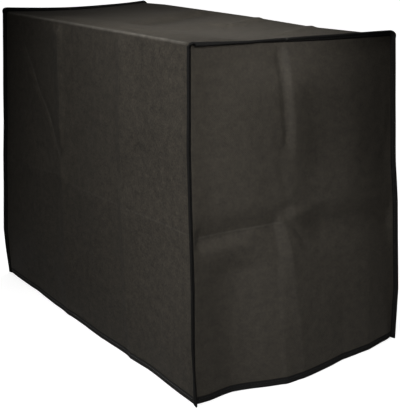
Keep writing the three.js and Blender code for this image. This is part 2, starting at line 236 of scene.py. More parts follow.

# %% [markdown]
# The folds are placed in a short table for each wall. A line gives places along the wall and down from the
# top, or along X and Y on the top. The rise is how far it lifts the cloth, and a valley has a negative one.
# The reach is how far it spreads, first to the left or upwards and then to the right or downwards. One
# value says how pale its line is painted, part rubbing and part painted highlight, and another how dark a
# narrow one is painted, as painted shade at its bottom. Fade is how softly it ends, and spread how many
# times wider it has become there.

# %% The folds of each wall
folds = {
    "front": [
        crease(line=[(-192, 36), (-145, 82), (-95, 128), (-64, 166)], rise=-1.2, reach=(5, 40), worn=0.5),
        crease(line=[(-62, 5), (-58, 48), (-56, 98), (-56, 166)], rise=3.8, reach=(60, 40), fade=45),
        facet(line=[(-62, 5), (-58, 48), (-56, 98), (-56, 130)],
              rise=1.9, reach=(24, 9), worn=0.4, fade=40),
        crease(line=[(-56, 196), (-55, 262), (-54, 376)], rise=1.6, reach=(26, 30), worn=0.1, fade=40),
        crease(line=[(106, 12), (104, 165), (107, 240), (116, 376)], rise=2.2, reach=(14, 44), worn=0.1),
        crease(line=[(-250, 206), (-150, 198), (-58, 190)], rise=1.8, reach=(24, 40), worn=0.15),
        crease(line=[(-50, 198), (74, 196), (252, 192)], rise=0.8, reach=(24, 26), worn=0.25),
        dent(line=[(140, 128), (112, 160)], rise=-1.8, reach=(24, 30), fade=30),
        dent(line=[(26, 112), (-18, 152)], rise=-1.2, reach=(26, 26)),
    ],
    "back": [
        crease(line=[(-255, 198), (255, 198)], rise=3, reach=(26, 26), worn=0.15),
        crease(line=[(-60, 8), (-60, 376)], rise=2.6, reach=(40, 40), worn=0.1),
        crease(line=[(90, 8), (90, 376)], rise=-2.6, reach=(40, 40), worn=0.1),
    ],
    "top": [
        crease(line=[(-14, -30), (-42, 12), (-66, 66), (-78, 100)], rise=-6.5, reach=(22, 62), fade=56),
        crease(line=[(74, 42), (52, 88), (38, 128)], rise=3.4, reach=(60, 16), worn=0.4),
        crease(line=[(184, 40), (160, 84), (138, 126)], rise=2.6, reach=(40, 12), worn=0.4),
        dent(line=[(-110, -112), (245, -98)], rise=2.4, reach=(34, 56)),
    ],
    "right": [
        # The dark lines on this end are painted shade at the bottoms of narrow valleys.
        crease(line=[(-29, 6), (-25, 50), (-22, 83), (-20, 102)], rise=-0.8, reach=(4, 8), dark=0.2),
        dent(line=[(-13, 8), (-7, 90)], rise=3, reach=(11, 70), fade=60),
        crease(line=[(-20, 102), (-28, 128), (-26, 148), (-20, 171), (-24, 191)],
               rise=-0.4, reach=(5, 12), dark=0.1),
        facet(line=[(-12, 56), (-12, 170)], rise=4.6, reach=(96, 130), fade=50),
        crease(line=[(-135, 198), (-80, 196), (-27, 195)], rise=-3, reach=(27, 34), worn=0.4),
        crease(line=[(-135, 202), (-92, 200)], rise=-3, reach=(24, 14), fade=34),
        dent(line=[(30, 208), (84, 212), (135, 220)], rise=-3.2, reach=(28, 36), fade=40),
        facet(line=[(-25, 196), (-19, 228), (-18, 262), (-14, 320), (-12, 376)],
              rise=4.8, reach=(9, 60), spread=3, worn=0.1),
        crease(line=[(-12, 205), (-1, 221)], rise=-1.5, reach=(6, 9), dark=0.3),
        dent(line=[(-112, 60), (-112, 170)], rise=-1.6, reach=(26, 50), fade=50),
        dent(line=[(-92, 244), (-88, 376)], rise=-7, reach=(46, 60), fade=34),
        dent(line=[(72, 96), (74, 186)], rise=5.5, reach=(60, 66), fade=90),
    ],
    "left": [
        crease(line=[(-10, 6), (-6, 198)], rise=-4, reach=(12, 26), worn=0.15),
        crease(line=[(-135, 198), (135, 198)], rise=3.4, reach=(30, 30), worn=0.15),
    ],
}
crease_sharpness = 1.5
fold_end_fade = 18
fold_tip = 1
wall_edge_fade = 12
print("folds", {wall: len(rows) for wall, rows in folds.items()})

# %% [markdown]
# ## From the cut box to the standing cover
# Each point starts on a plain box with the cut's sizes and is then moved: the corners' places are mixed
# across the box, which makes it lean and flare, and the folds lift it off its wall. The same few
# functions serve every cloth and tape, so that the pieces stay together.

# %% Reading tables and mixing
def clamp01(value):
    return min(1.0, max(0.0, value))


def smooth(value):
    t = clamp01(value)
    return t * t * (3 - 2 * t)


def mix(a, b, t):
    return a + (b - a) * t


def from_table(rows, key, value, read):
    upper = 1
    while upper < len(rows) - 1 and rows[upper][key] < value:
        upper += 1
    low, high = rows[upper - 1], rows[upper]
    t = clamp01((value - low[key]) / (high[key] - low[key]))
    return mix(read(low), read(high), t)


def mix_corners(value_at, to_right, to_back):
    front = mix(value_at("front", "left"), value_at("front", "right"), to_right)
    rear = mix(value_at("back", "left"), value_at("back", "right"), to_right)
    return mix(front, rear, to_back)


print("a quarter of the way, made smooth:", smooth(0.25))

# %% [markdown]
# Each corner post of the plain box is shifted to where its table says. Any other point gets its share of
# the four shifts, by how far to the right and to the back it is, as a lattice would do it. It rises or
# sinks in the same way, most at the top and not at all at the hem.

# %% Where a point of the cut box stands
def settle(point):
    to_right = clamp01(point.x / length + 0.5)
    to_back = clamp01(point.y / depth + 0.5)
    drop = clamp01(-point.z / height) * height

    def post_shift(axis):
        def shift(wall, side):
            cut_x = length / 2 if side == "right" else -length / 2
            cut_y = depth / 2 if wall == "back" else -depth / 2
            stands = from_table(corner_posts[wall], "drop", drop, lambda row: row[side][axis])
            return stands - (cut_x, cut_y)[axis]

        return shift

    end_sag = mix(end_edge_sag["left"], end_edge_sag["right"], to_right) * math.sin(math.pi * to_back)
    back_sag = from_table(back_edge_sag, "x", point.x, lambda row: row["down"]) * to_back
    rise = mix_corners(lambda wall, side: corner_rise[wall][side], to_right, to_back) - end_sag - back_sag
    return Vector((
        point.x + mix_corners(post_shift(0), to_right, to_back),
        point.y + mix_corners(post_shift(1), to_right, to_back),
        point.z + rise * (1 - drop / height),
    ))


top_front_left = settle(Vector((-length / 2, -depth / 2, 0)))
print("the top's front left corner stands at", [round(v, 1) for v in top_front_left], "mm")

# %% [markdown]
# A fold is a line of a few straight stretches. For each point of the cloth the nearest place on that line
# is found, and how far off to one side the point is. The lift is greatest on the line and dies away to
# both sides, in the way of its form, and past the line's ends. A small round tip keeps the line from
# being as sharp as a knife.

# %% How far one fold lifts the cloth
def nearest_on_fold(line, across, down):
    """How far off a fold's line a point is, negative to its left or above, how far past its ends, and how
    far along it, from 0 to 1."""
    level = abs(line[-1][0] - line[0][0]) > abs(line[-1][1] - line[0][1])
    nearest = None
    for k, ((start_across, start_down), end) in enumerate(zip(line, line[1:])):
        run_across, run_down = end[0] - start_across, end[1] - start_down
        away_across, away_down = across - start_across, down - start_down
        run = math.hypot(run_across, run_down)
        along = (away_across * run_across + away_down * run_down) / run
        off = (away_across * run_down - away_down * run_across) / run * (-1 if level else 1)
        before, after = max(0, -along), max(0, along - run)
        past = (before if k == 0 else 0) + (after if k == len(line) - 2 else 0)
        away = math.hypot(off, before + after - past)
        if nearest is None or away + past < abs(nearest[0]) + nearest[1]:
            nearest = math.copysign(away, off), past, (k + clamp01(along / run)) / (len(line) - 1)
    return nearest


def fold_lift(fold, across, down):
    off, past, share = nearest_on_fold(fold["line"], across, down)
    fade = fold.get("fade", fold_end_fade)
    if past > fade:
        return 0
    reach = (fold["reach"][0] if off < 0 else fold["reach"][1]) * mix(1, fold.get("spread", 1), share)
    away = math.hypot(off, fold_tip) - fold_tip
    near = clamp01(1 - away / reach)
    side = {"crease": near**crease_sharpness, "facet": near, "dent": smooth(near)}[fold["form"]]
    return fold["rise"] * side * smooth(1 - past / fade)


half_fold_at_back = folds["back"][0]
print("the back's half fold stands out", round(fold_lift(half_fold_at_back, 0, half_fold_drop), 2), "mm")

# %% [markdown]
# Between its folds the cloth is never quite flat. It has low waves from handling, and small puckers where
# the seam's thread draws it in. Both come from Perlin noise in the cut cloth's own millimetres, so they
# stay the same in every run.

# %% Soft waves and seam puckers
handling_waves = [
    dict(width=62, rise=1.4),
    dict(width=25, rise=0.42),
    dict(width=11, rise=0.1),
]
pucker_rise = 0.5
pucker_width = 8
pucker_reach = 11
pucker_start = 4
pucker_limit = 5 * pucker_reach
noise_start = Vector((0, 4.1, 0))
noise_step = Vector((17.3, 0, -9.7))


def handling_lift(place):
    lift = 0
    for row, wave in enumerate(handling_waves):
        lift += wave["rise"] * noise.noise(place / wave["width"] + noise_start + noise_step * row)
    return lift


def pucker_lift(place, from_seam):
    if from_seam > pucker_limit:
        return 0
    near = math.exp(-from_seam / pucker_reach) * smooth(from_seam / pucker_start)
    return pucker_rise * near * noise.noise(place / pucker_width)


print("the waves are", " and ".join(str(wave["width"]) for wave in handling_waves), "mm wide")

# %% [markdown]
# All that lifts the cloth off its wall is added up here. The folds and the waves fade out along a wall's
# edges, where a seam or a soft fold holds the cloth, and only the puckers go on up to the seam.

# %% How far the cloth stands off its wall
def wall_lift(wall, across, down, place, from_seam, from_edge):
    lift = sum(fold_lift(fold, across, down) for fold in folds[wall])
    lift += handling_lift(place)
    lift *= smooth(min(from_seam, from_edge) / wall_edge_fade)
    return lift + pucker_lift(place, from_seam) * smooth(from_edge / wall_edge_fade)


def hem_bulge(rows, key, value, drop):
    lower = clamp01((drop - half_fold_drop) / (height - half_fold_drop))
    return from_table(rows, key, value, lambda row: row["out"]) * lower


print("the right hem's wave at its deepest", round(hem_bulge(right_hem_bulge, "y", -35, height), 1), "mm")

# %% [markdown]
# ## The girth
# Both cloths of an end seam follow one line: up the front, round the soft edge of the top, over and down
# the back. A station is a place on that line. Its turn is the angle of the cloth's outward side, 0 at the
# front, 90 on top and 180 at the back.

# %% Stations of the girth
Station = namedtuple("Station", "y z turn along")
wall_run = height - edge_radius
arc_run = edge_radius * math.pi / 2
top_run = depth - 2 * edge_radius
girth_run = 2 * wall_run + 2 * arc_run + top_run
arc_steps = 6


def station_at(along):
    if along > girth_run / 2:
        front = station_at(girth_run - along)
        return Station(-front.y, front.z, 180 - front.turn, along)
    if along <= wall_run:
        return Station(-depth / 2, -height + along, 0, along)
    if along <= wall_run + arc_run:
        turn = (along - wall_run) / edge_radius
        y = -depth / 2 + edge_radius * (1 - math.cos(turn))
        return Station(y, -edge_radius * (1 - math.sin(turn)), math.degrees(turn), along)
    return Station(-depth / 2 + edge_radius + along - wall_run - arc_run, 0, 90, along)


print("girth", round(girth_run), "mm")

# %% [markdown]
# A sheet's grid has one row of corners at each of its stations. They are closer where a wall's small
# folds show, and a soft edge always gets six steps, which makes it round.

# %% The rows of a grid
def spread(breaks):
    """Places from one break to the next, at about the pitch that each break gives."""
    places = []
    for (start, pitch), (end, _) in zip(breaks, breaks[1:]):
        count = max(1, round((end - start) / pitch))
        places += [mix(start, end, k / count) for k in range(count)]
    return places + [breaks[-1][0]]


def girth_stations(front_pitch, top_pitch, back_pitch):
    half_fold = height - half_fold_drop
    arc_pitch = arc_run / arc_steps
    breaks = [
        (0, front_pitch),
        (half_fold, front_pitch),
        (wall_run, arc_pitch),
        (wall_run + arc_run, top_pitch),
        (girth_run - wall_run - arc_run, arc_pitch),
        (girth_run - wall_run, back_pitch),
        (girth_run - half_fold, back_pitch),
        (girth_run, 0),
    ]
    return [station_at(along) for along in spread(breaks)]


body_girth = girth_stations(front_pitch=3.6, top_pitch=3.6, back_pitch=5)
print(len(body_girth), "stations on the body cloth")

# %% [markdown]
# The fin stands on the same line. At each station it has one direction out along its width and one across
# it, towards the body cloth. It also wobbles by a few degrees, because the seam was guided under the
# needle by hand.

# %% The fin's directions and places
fin_wobble = 5
fin_wobble_width = 40
fin_wobble_start = Vector((0, 0, 0.5))
fin_wobble_side = Vector((0, 3.7, 0))


def outward(turn):
    return Vector((0, -math.cos(math.radians(turn)), math.sin(math.radians(turn))))


def fin_directions(side, station):
    """Out along the fin's width, and across it towards the body cloth."""
    end = "right" if side > 0 else "left"
    lean = fin_lean[end]
    hemward = smooth((-station.z - fin_turn_drop[end]) / (height - fin_turn_drop[end]))
    if station.turn < 90:
        wall = mix(lean["front"], lean["front_hem"], hemward)
        angle = mix(wall, lean["top"], station.turn / 90)
    elif station.turn == 90:
        angle = mix(lean["top"], lean["top_back"], math.sin(math.pi / 2 * clamp01(station.y / depth + 0.5)))
    else:
        wall = mix(lean["back"], lean["back_hem"], hemward)
        angle = mix(lean["top_back"], wall, station.turn / 90 - 1)
    along_the_seam = Vector((station.along / fin_wobble_width, 0, 0))
    angle += fin_wobble * noise.noise(along_the_seam + fin_wobble_side * side + fin_wobble_start)
    away = Vector((side, 0, 0))
    cos, sin = math.cos(math.radians(angle)), math.sin(math.radians(angle))
    return away * cos + outward(station.turn) * sin, outward(station.turn) * cos - away * sin


def fin_place(side, station, out, across):
    fin_out, to_body = fin_directions(side, station)
    seam = settle(Vector((side * length / 2, station.y, station.z)))
    gain = fin_corner_gain["right" if side > 0 else "left"]["front" if station.turn < 90 else "back"]
    reach = out * (1 + gain * math.sin(2 * math.radians(station.turn)) ** 2)
    return seam + fin_out * reach + to_body * across


front_edge_of_fin = fin_place(1, station_at(wall_run / 2), fin_width, 0)
print("halfway up the front the right fin ends at", [round(v, 1) for v in front_edge_of_fin], "mm")

# %% [markdown]
# A cloth comes off its wall and turns out into the fin. A square turn would look folded from card, so it
# is drawn as a short curve with three control points: one on the fin, one in the seam and one on the
# wall.

# %% The turn from the wall into the fin
def across_the_seam(side, station, distance, ply, wall_place):
    """A place so far inside the seam on the wall, or outside it on the fin, with a round turn between."""
    if distance <= -seam_turn:
        return fin_place(side, station, -distance, ply)
    if distance >= seam_turn:
        return wall_place(distance)
    t = (distance + seam_turn) / (2 * seam_turn)
    on_fin = fin_place(side, station, seam_turn, ply)
    on_wall = wall_place(seam_turn)
    corner = fin_place(side, station, 0, ply)
    return on_fin * (1 - t) ** 2 + corner * 2 * t * (1 - t) + on_wall * t**2


print("the turn takes", 2 * seam_turn, "mm of cloth")

# %% [markdown]
# ## Making a sheet
# Blender could drape a flat grid with its Cloth simulation, but this cover is stiff and keeps the creases
# of its packet, which a simulation would iron out. So each cloth starts as a grid from bmesh, every
# corner of the grid is moved to its place, and solidify gives it a thickness. The UV map holds the flat
# cut in metres, so the weave, the rubbing and the painted highlights and shade of its lines follow the
# cloth round every edge.

# %% A grid with a flat cut, and its thickness
def lay_grid(bm, columns, rows, place_at, cut_at):
    """A grid whose corners are moved to place_at(i, j), with cut_at(i, j), in mm, as their flat place."""
    made = bmesh.ops.create_grid(bm, x_segments=columns, y_segments=rows, size=0.5)
    uv = bm.loops.layers.uv.get("cut") or bm.loops.layers.uv.new("cut")
    cell = {v: (round((v.co.x + 0.5) * columns), round((v.co.y + 0.5) * rows)) for v in made["verts"]}
    for face in {face for vert in made["verts"] for face in vert.link_faces}:
        for loop in face.loops:
            loop[uv].uv = Vector(cut_at(*cell[loop.vert])) * mm
    for vert, (i, j) in cell.items():
        vert.co = place_at(i, j)


def thicken(bm, thickness):
    """The grid is the middle of the cloth, so it moves out by half before the inside is made."""
    bm.normal_update()
    for vert in bm.verts:
        vert.co += vert.normal * thickness / 2
    bmesh.ops.solidify(bm, geom=bm.faces[:], thickness=thickness)


print("cloth", cloth_thickness, "mm and tape", tape_thickness, "mm thick")

# %% [markdown]
# Where each wall lies on the roll is needed twice: for the UV map, and later to put the painted pale and
# dark lines on their folds. The end cloths lie beside the body cloth, each on its own stretch, so that the
# mottle of the roll is never the same on two of them.

# %% Where the walls lie on the roll
roll_place = dict(right=560, left=860)


def on_the_cut(wall, across, down):
    """Where a point of a wall lies on the roll: the body cloth first, and the end cloths beside it."""
    if wall == "front":
        return across + length / 2, height - down
    if wall == "back":
        return across + length / 2, girth_run - height + down
    if wall == "top":
        return across + length / 2, wall_run + arc_run - edge_radius + down + depth / 2
    return across + depth / 2 + roll_place[wall], height - down


print("the half fold crosses the front of the roll at", on_the_cut("front", 0, half_fold_drop)[1], "mm")

# %% [markdown]
# A finished mesh is turned from millimetres into metres and shaded smooth, except where it bends by more
# than 50 degrees. It rides on the part's only body. A piece with a node takes the place of that node's
# plain solid.

# %% Finishing a piece
sharp_bend = math.radians(50)


def finish_piece(name, bm, node=None):
    bmesh.ops.scale(bm, vec=(mm, mm, mm), verts=bm.verts)
    mesh = bpy.data.meshes.new(name)
    bm.to_mesh(mesh)
    bm.free()
    mesh.shade_smooth()
    mesh.set_sharp_from_angle(angle=sharp_bend)
    piece = bpy.data.objects.new(name, mesh)
    scene.collection.objects.link(piece)
    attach(piece, "root")
    if node:
        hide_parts(node)
    print(name, len(mesh.polygons), "faces")
    return piece


print("pieces bend sharply over", round(math.degrees(sharp_bend)), "degrees")

# %% [markdown]
# ## The body cloth
# One length of cloth makes the front, the top and the back. Its two long top edges are only soft folds.
# At each end its seam allowance turns outwards into the fin.

# %% Where a point of the body cloth stands
fin_steps = [-fin_width, -3.6, -2.2, -seam_turn, -seam_turn / 2, 0, seam_turn / 2, seam_turn]
near_seam_steps = [2, 3.5, 5.5, 8, 11, 14.5]
body_pitch = 3.6


def body_place(x, station):
    from_seam = length / 2 - abs(x)
    drop = -station.z
    place = Vector((x, station.y, station.z))
    lift = 0
    if station.turn in (0, 180):
        wall = "front" if station.turn == 0 else "back"
        lift = wall_lift(wall, x, drop, place, from_seam, drop - edge_radius)
        if wall == "front":
            lift += hem_bulge(front_hem_bulge, "x", x, drop)
    elif station.turn == 90:
        lift = wall_lift("top", x, station.y, place, from_seam, depth / 2 - edge_radius - abs(station.y))
    return settle(place) + outward(station.turn) * lift


middle_of_top = body_place(0, station_at(girth_run / 2))
print("the middle of the top stands", round(middle_of_top.z, 1), "mm over the cut box's top")

# %% [markdown]
# The grid's columns run from the left fin to the right one. They are close together in the fin and beside
# the seam, where the cloth turns and puckers, and evenly spread between.

# %% The columns of the body cloth
def body_columns():
    """(side, distance in from that side's seam) of each column, from left to right."""
    seam = fin_steps + near_seam_steps
    middle = length / 2 - near_seam_steps[-1]
    inner = spread([(-middle, body_pitch), (middle, 0)])[1:-1]
    return (
        [(-1, distance) for distance in seam]
        + [(-1 if x < 0 else 1, length / 2 - abs(x)) for x in inner]
        + [(1, distance) for distance in reversed(seam)]
    )


columns = body_columns()
print(len(columns), "columns")

# %% [markdown]
# Now the cloth can be made: one grid, its corners moved to their places, and its thickness.

# %% Body cloth
def body_corner(i, j):
    side, distance = columns[i]
    station = body_girth[j]

    def wall_place(inside):
        return body_place(side * (length / 2 - inside), station)

    return across_the_seam(side, station, distance, ply_offset, wall_place)


def body_cut(i, j):
    side, distance = columns[i]
    return side * (length / 2 - distance) + length / 2, body_girth[j].along


bm = bmesh.new()
lay_grid(bm, len(columns) - 1, len(body_girth) - 1, body_corner, body_cut)
thicken(bm, cloth_thickness)
body_cloth = finish_piece("body_cloth", bm, "body_panel")

# %% [markdown]
# ## The end cloths
# An end is flat, with its top corners rounded to match the body's soft edges. A grid fills it: its rows
# and columns are spread between the front, the top and the back edges. A second grid, a strip round those
# three edges, makes the turned-out allowance, and the two are merged where they meet.

# %% Where a point of an end cloth stands
def end_place(side, y, z):
    from_seam = min(depth / 2 - abs(y), -z)
    place = Vector((side * length / 2, y, z))
    wall = "right" if side > 0 else "left"
    lift = wall_lift(wall, y, -z, place, from_seam, from_seam)
    lift += hem_bulge(right_hem_bulge if side > 0 else left_hem_bulge, "y", y, -z)
    standing = settle(place)
    standing.x += side * lift
    return standing


def inside_the_seam(station, distance):
    """The flat place, as Y and Z, so far inside the seam at a station."""
    turn = math.radians(station.turn)
    return Vector((station.y + math.cos(turn) * distance, station.z - math.sin(turn) * distance))


beside_top_seam = inside_the_seam(station_at(girth_run / 2), seam_turn)
print("just inside the top seam, Y and Z are", [round(v, 1) for v in beside_top_seam], "mm")

# %% [markdown]
# The inner grid has to end on the seam's own stations on three sides and on the straight hem on the
# fourth, or the merge would leave cracks. A grid between four edges is mixed from them: the mix between
# the upright edges, plus the mix between the level ones, less what the four corners would give by
# themselves.

# %% The flat grid inside an end's seam
end_arc_steps = arc_steps // 2


def end_grid(girth):
    """How many columns and rows the grid has, and a function for the flat place of each of its corners."""
    wall_rows = sum(1 for station in girth if station.turn == 0) - 1
    rows = wall_rows + end_arc_steps
    columns = len(girth) - 1 - 2 * rows
    low, high = inside_the_seam(girth[0], seam_turn), inside_the_seam(girth[rows], seam_turn)

    def hem_y(column):
        from_corner = min(column, columns - column)
        if from_corner >= end_arc_steps:
            return girth[rows + column].y
        in_from_seam = mix(seam_turn, edge_radius, from_corner / end_arc_steps)
        return (in_from_seam - depth / 2) * (1 if column < end_arc_steps else -1)

    def in_the_plane(column, row):
        front = inside_the_seam(girth[row], seam_turn)
        top = inside_the_seam(girth[rows + column], seam_turn)
        hem = Vector((hem_y(column), hem_z))
        up_share = (front.y - hem_z) / (high.y - hem_z)
        across_share = (hem.x - low.x) / (-2 * low.x)
        upright = Vector((mix(front.x, -front.x, across_share), front.y))
        level = hem.lerp(top, up_share)
        at_hem = mix(low.x, -low.x, across_share)
        at_top = mix(high.x, -high.x, across_share)
        corners = Vector((mix(at_hem, at_top, up_share), mix(hem_z, high.y, up_share)))
        return upright + level - corners

    return columns, rows, in_the_plane


right_girth = girth_stations(1.9, 1.9, 1.9)
print("the right end's grid has", end_grid(right_girth)[:2], "columns and rows")

# %% [markdown]
# The right end is the one that shows most, so its grid is more than twice as fine as the left one's. Both
# are made by one function. The faces of the merged grids are turned to one side before the cloth gets its
# thickness, because solidify moves each corner along its own normal.

# %% End cloths
merge_distance = 0.01


def end_cloth(side, name, node, girth):
    wall = "right" if side > 0 else "left"
    columns, rows, in_the_plane = end_grid(girth)

    def inner_corner(i, j):
        y, z = in_the_plane(i, j)
        return end_place(side, y, z)

    def inner_cut(i, j):
        y, z = in_the_plane(i, j)
        return on_the_cut(wall, y, -z)

    def strip_corner(i, j):
        def wall_place(distance):
            y, z = inside_the_seam(girth[j], distance)
            return end_place(side, y, z)

        return across_the_seam(side, girth[j], fin_steps[i], -ply_offset, wall_place)

    def strip_cut(i, j):
        y, z = inside_the_seam(girth[j], fin_steps[i])
        return on_the_cut(wall, y, -z)

    bm = bmesh.new()
    lay_grid(bm, columns, rows, inner_corner, inner_cut)
    lay_grid(bm, len(fin_steps) - 1, len(girth) - 1, strip_corner, strip_cut)
    bmesh.ops.remove_doubles(bm, verts=bm.verts, dist=merge_distance)
    bmesh.ops.recalc_face_normals(bm, faces=bm.faces)
    thicken(bm, cloth_thickness)
    return finish_piece(name, bm, node)


left_girth = girth_stations(4.5, 4.5, 4.5)
right_end_cloth = end_cloth(1, "right_end_cloth", "end_panel_right", right_girth)
left_end_cloth = end_cloth(-1, "left_end_cloth", "end_panel_left", left_girth)

# %% [markdown]
# ## The seam tapes
# A tape is folded in half along its length, over the raw edges of the fin, and sewn through. Its section
# is a U with a round bottom and a shallow channel where the stitches pull it down. The grid runs along
# the girth, and at each hem the tape goes on a little and is pinched shut.

# %% The section of a folded tape
tape_root = 0.9
seam_tape_bend = 5.15
stitch_out = 2.5
stitch_channel = 0.14
channel_half = 0.8
root_step = 0.25
flank_share = 0.6
bend_steps = 8


def tape_section(root, bend, channel_at, offset):
    """(out along the cloth, across it) of a folded tape, from one edge round the bend to the other."""
    channel_end = channel_at + channel_half
    channel = [(channel_at - channel_half, 0), (channel_at, -stitch_channel), (channel_end, 0)]
    flank = [(root, 0), (root + root_step, 0)] + channel + [(mix(channel_end, bend, flank_share), 0)]
    one = [(out, offset + dip) for out, dip in flank]
    turn = [
        (bend + offset * math.sin(angle), offset * math.cos(angle))
        for angle in (math.pi * k / bend_steps for k in range(bend_steps + 1))
    ]
    return one + turn + [(out, -across) for out, across in reversed(one)]


def along_the_section(section):
    """How far round the section each of its points is."""
    run = [0]
    for a, b in zip(section, section[1:]):
        run.append(run[-1] + math.dist(a, b))
    return run


seam_section = tape_section(tape_root, seam_tape_bend, stitch_out, seam_tape_offset)
print("the seam tape is", round(along_the_section(seam_section)[-1], 1), "mm wide before it is folded")

# %% [markdown]
# Where the fin leans, one edge of its tape comes close to the wall and the other stands off it. A tape
# lies down on the cloth beside it, so on the open side its edge reaches further down, to just above the
# wall.

# %% How far a tape's edge reaches down
tape_inside = seam_tape_offset - tape_thickness / 2
wall_gap = cloth_thickness / 2 + 0.2
least_rise = 0.15
longest_reach = 1
reach_gain = 1.2


def edge_drop(side, station, across):
    fin_out, to_body = fin_directions(side, station)
    off_the_wall = Vector((side, 0, 0)) if across < 0 else outward(station.turn)
    rising = fin_out.dot(off_the_wall)
    if rising < least_rise:
        return 0
    from_middle = math.copysign(1, across) * to_body.dot(off_the_wall)
    nearest = min(tape_inside * from_middle, (tape_inside + tape_thickness) * from_middle)
    return min(longest_reach, tape_root - (wall_gap - nearest) / rising) * reach_gain


print("beside the front wall the edge drops", round(edge_drop(1, station_at(wall_run / 2), 1), 2), "mm")

# %% [markdown]
# The tape's grid has the section across it and the body cloth's stations along it. Three more rows at
# each end make its tail, which goes on past the hem and is pinched flat.

# %% Seam tapes
tail_rows = [dict(down=1.3, share=0.3), dict(down=0.9, share=0.75), dict(down=0.3, share=1)]


def seam_tape(side, name, node):
    run = along_the_section(seam_section)
    free_edge = stitch_out - channel_half
    tails = [(body_girth[0], row["down"], row["share"]) for row in tail_rows]
    middle = [(station, 0, 1) for station in body_girth]
    rows = tails + middle + [(body_girth[-1], down, share) for _, down, share in reversed(tails)]

    def corner(i, j):
        station, down, share = rows[j]
        out, across = seam_section[i]
        edge_share = clamp01((free_edge - out) / (free_edge - tape_root))
        out -= edge_share * edge_drop(side, station, across)
        return fin_place(side, station, out, across * share) - Vector((0, 0, down))

    def cut(i, j):
        station, down, _ = rows[j]
        return run[i], station.along + (down if station.turn > 90 else -down)

    bm = bmesh.new()
    lay_grid(bm, len(seam_section) - 1, len(rows) - 1, corner, cut)
    bmesh.ops.recalc_face_normals(bm, faces=bm.faces)
    thicken(bm, tape_thickness)
    return finish_piece(name, bm, node)


right_seam_tape = seam_tape(1, "right_seam_tape", "seam_binding_right")
left_seam_tape = seam_tape(-1, "left_seam_tape", "seam_binding_left")

# %% [markdown]
# ## The hem tapes
# A wider tape of the same stuff closes the raw hem of each wall, inside and out. It was sewn on before
# the end seams, so it stops just short of the fins. A hem is a line with three directions at each place:
# along it, up the cloth and out of the wall.

# %% The hems and their directions
hem_lift = 8


def body_hem(front):
    station = station_at(0 if front else girth_run)
    above = station_at(hem_lift if front else girth_run - hem_lift)
    return lambda x: (body_place(x, station), body_place(x, above), outward(station.turn))


def end_hem(side):
    away = Vector((side, 0, 0))
    return lambda y: (end_place(side, y, hem_z), end_place(side, y, hem_z + hem_lift), away)


def hem_frame(hem_at, place):
    """A point of the hem, and the directions along it, up the cloth and out of the wall."""
    hem, above, away = hem_at(place)
    onward = (hem_at(place + 1)[0] - hem_at(place - 1)[0]).normalized()
    upward = (above - hem).normalized()
    facing = onward.cross(upward).normalized()
    return hem, onward, upward, facing if facing.dot(away) > 0 else -facing


hem_lines = {
    "front": (body_hem(True), length / 2),
    "back": (body_hem(False), length / 2),
    "right": (end_hem(1), depth / 2),
    "left": (end_hem(-1), depth / 2),
}
middle_of_right_hem = hem_lines["right"][0](0)[0]
print("the middle of the right hem is at", [round(v, 1) for v in middle_of_right_hem], "mm")

# %% [markdown]
# One function makes all four tapes. The same section is used upside down, with its round bend just below
# the cloth's raw edge.

# %% Hem tapes
hem_stop = 2.2
hem_stitch_up = 4.4
hem_pitch = 3.6
hem_bend = 0.1


def hem_tape(name, node, hem_at, half_run):
    places = spread([(hem_stop - half_run, hem_pitch), (half_run - hem_stop, 0)])
    section = tape_section(-hem_tape_width, hem_bend, -hem_stitch_up, hem_tape_offset)
    run = along_the_section(section)
    frames = [hem_frame(hem_at, place) for place in places]

    def corner(i, j):
        hem, _, upward, facing = frames[j]
        down, across = section[i]
        return hem - upward * down + facing * across

    def cut(i, j):
        return run[i], places[j] + half_run

    bm = bmesh.new()
    lay_grid(bm, len(section) - 1, len(places) - 1, corner, cut)
    bmesh.ops.recalc_face_normals(bm, faces=bm.faces)
    thicken(bm, tape_thickness)
    return finish_piece(name, bm, node)


hem_tapes = {
    wall: hem_tape(f"{wall}_hem_tape", f"hem_binding_{wall}", hem_at, half_run)
    for wall, (hem_at, half_run) in hem_lines.items()
}

# %% [markdown]
# ## The stitches
# One row of lockstitch runs through each tape and shows on both faces. A stitch is a short, fat grain of
# thread that dips into the tape at both ends, so a small UV sphere, stretched, is enough for it. Spin
# with no angle is Blender's way to repeat it along a straight row. The row is then bent onto its tape.

# %% A row of stitches
stitch_pitch = 3
stitch_size = (2.3, 0.55, 0.6)
stitch_facets = dict(u_segments=6, v_segments=4)


def sew(name, frame_at, first, last, half_thickness):
    """frame_at(place) gives a point of the row, then the directions along, aside and across."""
    count = round((last - first) / stitch_pitch)
    pitch = (last - first) / count
    bm = bmesh.new()
    for face in (1, -1):
        surface = Matrix.Translation((0, 0, face * (half_thickness - stitch_channel)))
        shape = surface @ Matrix.Diagonal((*stitch_size, 1))
        bmesh.ops.create_uvsphere(bm, radius=0.5, matrix=shape, **stitch_facets)
    row = dict(geom=bm.verts[:] + bm.edges[:] + bm.faces[:], axis=(0, 0, 1), angle=0, use_duplicate=True)
    bmesh.ops.spin(bm, dvec=(pitch, 0, 0), steps=count - 1, **row)
    frames = [frame_at(first + pitch * (k + 0.5)) for k in range(count)]
    for vert in bm.verts:
        k = round(vert.co.x / pitch)
        middle, onward, aside, across = frames[k]
        vert.co = middle + onward * (vert.co.x - k * pitch) + aside * vert.co.y + across * vert.co.z
    bmesh.ops.recalc_face_normals(bm, faces=bm.faces)
    return finish_piece(name, bm)


print("about", round(girth_run / stitch_pitch), "stitches to a seam")

# %% [markdown]
# Each row needs to know where it runs: the seam rows in the middle of the fin, the hem rows a little
# above the raw edge. A thread is kept with its tape, because the two get their finish together.

# %% Stitches
seam_row_inset = 2
hem_row_inset = 1


